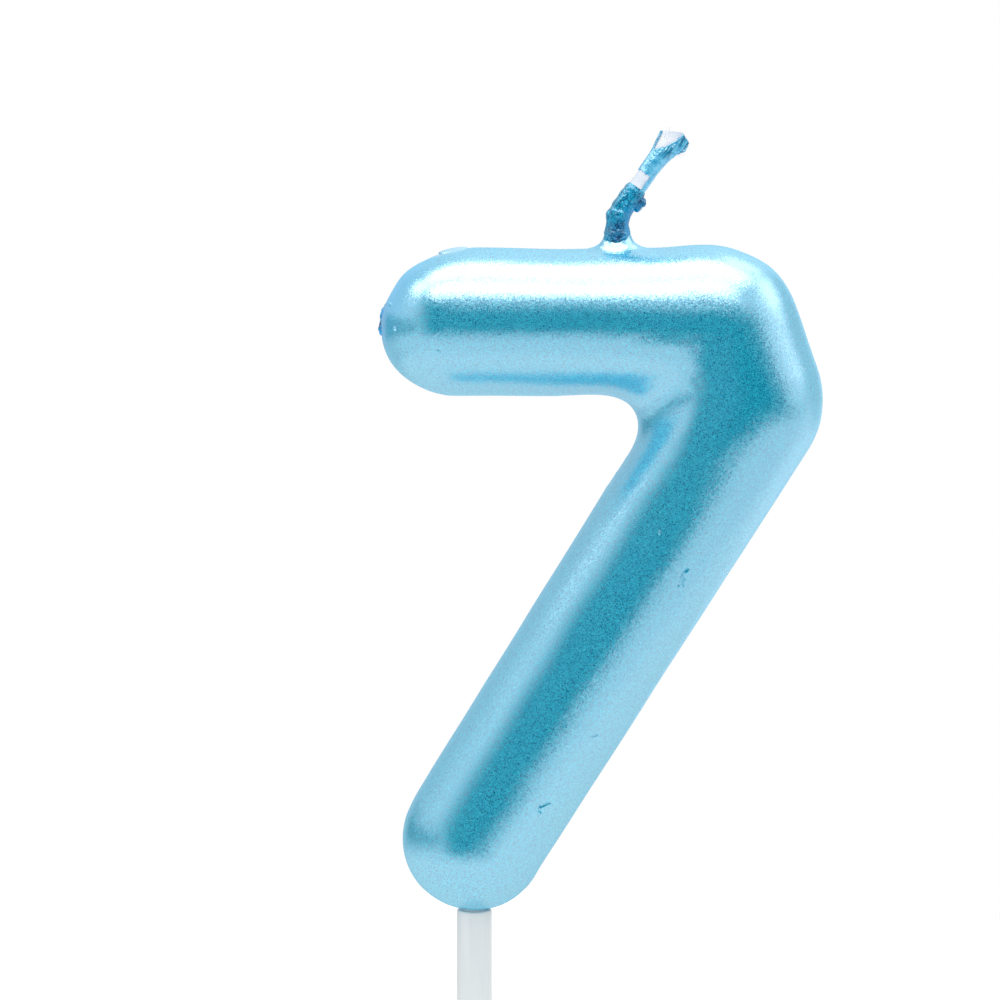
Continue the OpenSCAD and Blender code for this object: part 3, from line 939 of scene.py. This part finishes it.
# Waxed cotton yarn: soft off-white with a cool cast, fine twisted fibres
def waxedCotton():
    material, tree, surface, coords = newMaterial("waxedCotton")
    fibre = addNode(tree, "TexNoise", {"Vector": coords, "Scale": 1 / (0.5 * mm), "Detail": 3.0, "Roughness": 0.5})
    shade = mixed(tree, fibre.outputs["Fac"], "#e2eaf6", "#fafcff")
    along = addNode(tree, "SeparateXYZ", {0: alongWick(tree, coords)}).outputs["X"]
    # drier and greyer at the cut, bluer where the film broke away
    for centre, colour, amount in ((11.6 * mm, "#b9cbe4", 0.55), (6.4 * mm, "#c3d5ec", 0.4)):
        off = maths(tree, "ABSOLUTE", maths(tree, "SUBTRACT", along, centre))
        shade = mixed(tree, ramp(tree, off, 0.9 * mm, 0.1 * mm, 0.0, amount, "LINEAR"), shade, colour)
    relief = addNode(tree, "Bump", {"Height": fibre.outputs["Fac"], "Strength": 0.1, "Distance": 0.02 * mm})
    feed(tree, surface, {"Base Color": shade, "Normal": relief.outputs[0], "Roughness": 0.6, "IOR": 1.45})
    return material


yarn = waxedCotton()
for number in (1, 2, 3):
    makeStrand(number, yarn)

# Thick dip lacquer on the lower wick: lumps, a blister on the front and a chip under the bend
crust = {
    "startFront": 0.1 * mm,
    "startSides": 1.15 * mm,
    "end": 5.64 * mm,
    "radius": 0.96 * mm,
    "wall": 0.2 * mm,
    "lump": 0.08 * mm,
    "crinkle": 0.03 * mm,
    "bulge": 0.2 * mm,
    "bulgeAt": 2.6 * mm,
    "blister": 0.2 * mm,
    "blisterRadius": 0.42 * mm,
    "blisterAt": 2.8 * mm,
}


def makeLowerCrust(material):
    bm = bmesh.new()
    flareRadius = [(high, d) for d, high in reversed(coat["neck"])]

    def place(turn, way):
        a = 2 * math.pi * turn
        start = crust["startFront"] + (crust["startSides"] - crust["startFront"]) * (1 + math.sin(a - 0.2)) ** 0.8
        start += 0.15 * mm * noise.noise(Vector((3 * math.cos(a), 3 * math.sin(a), 7)))
        s = start + (crust["end"] - start) * way
        r = crust["radius"] - 0.12 * mm * ease((way - 0.92) / 0.08)
        if s < neckTop:             # down the flare, which lies on the bar's round top
            y = wick["root"].y + steeper(a, between(flareRadius, s)) * math.sin(a)
            r = max(r, steeper(a, between(flareRadius, s + topFall(y))) + 0.03 * mm)
        r -= 0.1 * mm * ease(1 - (s - start) / (0.35 * mm))     # its edge goes down into the coat
        spot = besideWick(s, r * math.cos(a), r * math.sin(a))
        r += crust["lump"] * noise.noise(spot / (0.75 * mm)) + crust["crinkle"] * crinkled(spot, 0.28 * mm)
        r += 0.4 * crust["crinkle"] * crinkled(spot, 0.12 * mm)
        # bulge on the left
        r += crust["bulge"] * hump((s - crust["bulgeAt"]) / (0.7 * mm)) * max(0.0, math.cos(a + 0.3)) ** 3
        # blister on the front
        off = math.hypot(s - crust["blisterAt"], crust["radius"] * (math.remainder(a + math.pi / 2, 2 * math.pi)))
        r += crust["blister"] * math.sqrt(max(0.0, 1 - (off / crust["blisterRadius"]) ** 2))
        return besideWick(s, r * math.cos(a), r * math.sin(a))

    wrapped(bm, 110, 120, place, capped=False)
    bmesh.ops.recalc_face_normals(bm, faces=bm.faces)
    bmesh.ops.solidify(bm, geom=bm.faces[:], thickness=crust["wall"])

    # chip that hangs under the bend, a crumpled scale
    def chip(turn, way):
        a, b = 2 * math.pi * turn, math.pi * way
        u, v, s = 0.48 * math.sin(b) * math.cos(a), 0.42 * math.sin(b) * math.sin(a), -0.58 * math.cos(b)
        grow = 1 + 0.45 * noise.noise(Vector((u, v, s)) / 0.3 + Vector((3, 1, 2)))
        drip = ease((-s - 0.2) / 0.4)           # its lower end is drawn out to a tip
        along, left, deep = chipAt
        return besideWick(along + (s * grow - 0.22 * drip) * mm, left + u * grow * mm, deep + v * grow * mm)

    wrapped(bm, 28, 18, chip)
    sealed(bm)
    addPiece("wickCrustLower", bm, material, "wick_crust_lower")


def makeUpperFilm(material):
    bm = bmesh.new()
    length = film["end"] - film["start"]
    bareFrom, bareTo = (math.radians(a) for a in film["bareRound"])
    openFrom = film["split"][0][0] * mm
    onWick = {}

    def place(turn, way):
        s = film["start"] + length * way
        a = 2 * math.pi * turn
        wide = between(film["left"] if math.cos(a) > 0 else film["right"], s)
        deep = between(film["deep"], s)
        spot = besideWick(s, wide * math.cos(a), deep * math.sin(a))
        grow = film["lump"] * noise.noise(spot / (0.6 * mm)) + film["crinkle"] * crinkled(spot, 0.22 * mm)
        # streaks along the wick where the end opens
        streak = noise.noise(Vector((wide * math.cos(a) / (0.14 * mm), s / (1.6 * mm), math.sin(a))))
        grow += 0.1 * mm * streak * ease((s - 9 * mm) / mm)
        u, v = (wide + grow) * math.cos(a), (deep + grow) * math.sin(a)
        point = besideWick(s, u, v)
        onWick[point.to_tuple(7)] = (s, a, u)
        return point

    wrapped(bm, 120, 170, place, capped=False)
    torn = []
    for face in bm.faces:
        p = face.calc_center_median()
        s, a, u = onWick[min(face.verts, key=lambda v: v.index).co.to_tuple(7)]
        rag = noise.noise(p / (0.3 * mm)) + 0.5 * noise.noise(p / (0.11 * mm))
        a = math.remainder(a, 2 * math.pi)
        bare = film["bareStart"] + 0.12 * mm * rag < s < film["bareEnd"] + 0.16 * mm * rag
        bare = bare and bareFrom < a + 0.12 * rag < bareTo
        fan = s > openFrom and between(film["split"], s) + 0.17 * mm * rag < u < 0.91 * between(film["left"], s)
        end = s > between(cotton["cut"], u) + 0.1 * mm * rag - 0.05 * mm
        under = s < film["bareStart"] and a >= bareFrom     # where the crust's end covers it
        if bare or fan or end or under:
            torn.append(face)
    bmesh.ops.delete(bm, geom=torn, context="FACES")
    bmesh.ops.delete(bm, geom=[v for v in bm.verts if not v.link_faces], context="VERTS")
    bmesh.ops.recalc_face_normals(bm, faces=bm.faces)
    piece = addPiece("wickFilmUpper", bm, material, "wick_crust_upper")
    shell = piece.modifiers.new("wall", "SOLIDIFY")
    shell.thickness = film["wall"]
    shell.offset = -1


# The same lacquer as a thin film: sky blue, paler where it is thin
def thinLacquer():
    material, tree, surface, coords = newMaterial("thinLacquer")
    mottle = addNode(tree, "TexNoise", {"Vector": coords, "Scale": 1 / (0.4 * mm), "Detail": 3.0, "Roughness": 0.6})
    patches = ramp(tree, mottle.outputs["Fac"], 0.32, 0.6, kind="LINEAR")
    tone = mixed(tree, patches, "#279fd2", "#6fcbf0")
    # dark folds along the open end
    place = alongWick(tree, coords)
    fold = addNode(tree, "Mapping", {"Vector": place, "Scale": (1 / (1.7 * mm), 1 / (0.26 * mm), 1)})
    fold = addNode(tree, "TexNoise", {"Vector": fold.outputs[0], "Scale": 1.0, "Detail": 2.0}, noise_dimensions="2D")
    fold = ramp(tree, fold.outputs["Fac"], 0.5, 0.62, 0.0, 0.85, "LINEAR")
    along = addNode(tree, "SeparateXYZ", {0: place}).outputs["X"]
    opening = ramp(tree, along, 8.8 * mm, 9.6 * mm, kind="LINEAR")
    tone = mixed(tree, maths(tree, "MULTIPLY", fold, opening), tone, "#0b7199")
    wrinkle = addNode(tree, "TexVoronoi", {"Vector": coords, "Scale": 1 / (0.22 * mm)}, feature="SMOOTH_F1")
    relief = addNode(tree, "Bump", {"Height": wrinkle.outputs["Distance"], "Strength": 0.12, "Distance": 0.1 * mm})
    feed(tree, surface, {
        "Base Color": tone,
        "Normal": relief.outputs[0],
        "Roughness": 0.12,
        "IOR": 2.0,
        "Specular IOR Level": 0.8,
        "Specular Tint": linear("#d6f2fd"),
    })
    return material


makeLowerCrust(pooled)
makeUpperFilm(thinLacquer())

# Moulded pick: a shank with a point, and a barbed stem that the wax was cast round
pick = {
    "radius": 1.5 * mm,
    "length": 30 * mm,
    "pointLength": 8 * mm,
    "pointRadius": 0.3 * mm,
    "stemRadius": 1.1 * mm,
    "stemLength": 12 * mm,
    "barbRadius": 1.5 * mm,
    "barbLength": 1.8 * mm,
    "barbs": 3,
    "seam": 0.06 * mm,              # ridge where the mould's halves met
    "round": 0.25 * mm,
}


def rounded(profile, reach, steps=6):
    # each corner of a profile becomes a short curve
    out = [profile[0]]
    for before, here, after in zip(profile, profile[1:], profile[2:]):
        before, here, after = Vector(before), Vector(here), Vector(after)
        cut = min(reach, 0.45 * (here - before).length, 0.45 * (after - here).length)
        start, end = here + (before - here).normalized() * cut, here + (after - here).normalized() * cut
        for i in range(steps + 1):
            t = i / steps
            out.append(tuple((1 - t) ** 2 * start + 2 * t * (1 - t) * here + t * t * end))
    return out + [profile[-1]]


def makePick(material):
    stem, barb = pick["stemRadius"], pick["barbRadius"]
    outline = [(-pick["length"], 0), (-pick["length"], pick["pointRadius"]),
               (pick["pointLength"] - pick["length"], pick["radius"]), (0, pick["radius"]), (0, stem)]
    pitch = pick["stemLength"] / (pick["barbs"] + 1)
    for i in range(1, pick["barbs"] + 1):
        low, high = i * pitch - pick["barbLength"] / 2, i * pitch + pick["barbLength"] / 2
        outline += [(low, stem), (low, barb), (high, stem)]
    outline += [(pick["stemLength"], stem), (pick["stemLength"], 0)]
    bm = bmesh.new()
    turned(bm, rounded(outline, pick["round"]), Vector(), up, steps=120)
    sealed(bm)
    for v in bm.verts:
        r = math.hypot(v.co.x, v.co.y)
        if r > 0.2 * mm:
            aside = math.asin(max(-1.0, min(1.0, v.co.y / r)))
            grow = 1 + pick["seam"] / pick["radius"] * hump(aside / 0.1)
            v.co.x, v.co.y = v.co.x * grow, v.co.y * grow
    addPiece("cakePick", bm, material, "cake_pick")


# Moulded polypropylene: milky white, a soft satin skin, light soaks in a little
def mouldedPolypropylene():
    material, tree, surface, coords = newMaterial("mouldedPolypropylene")
    flow = addNode(tree, "Mapping", {"Vector": coords, "Scale": (1 / (1.2 * mm), 1 / (1.2 * mm), 1 / (9 * mm))})
    cloud = addNode(tree, "TexNoise", {"Vector": flow.outputs[0], "Scale": 1.0, "Detail": 3.0})
    skin = addNode(tree, "TexNoise", {"Vector": coords, "Scale": 1 / (0.2 * mm), "Detail": 2.0})
    relief = addNode(tree, "Bump", {"Height": skin.outputs["Fac"], "Strength": 0.12, "Distance": 0.02 * mm})
    feed(tree, surface, {
        "Base Color": mixed(tree, cloud.outputs["Fac"], "#d3dade", "#e6ebed"),
        "Normal": relief.outputs[0],
        "Roughness": 0.4,
        "IOR": 1.49,
        "Subsurface Weight": 0.3,
        "Subsurface Radius": (0.8 * mm, 0.8 * mm, 0.8 * mm),
    })
    return material


makePick(mouldedPolypropylene())
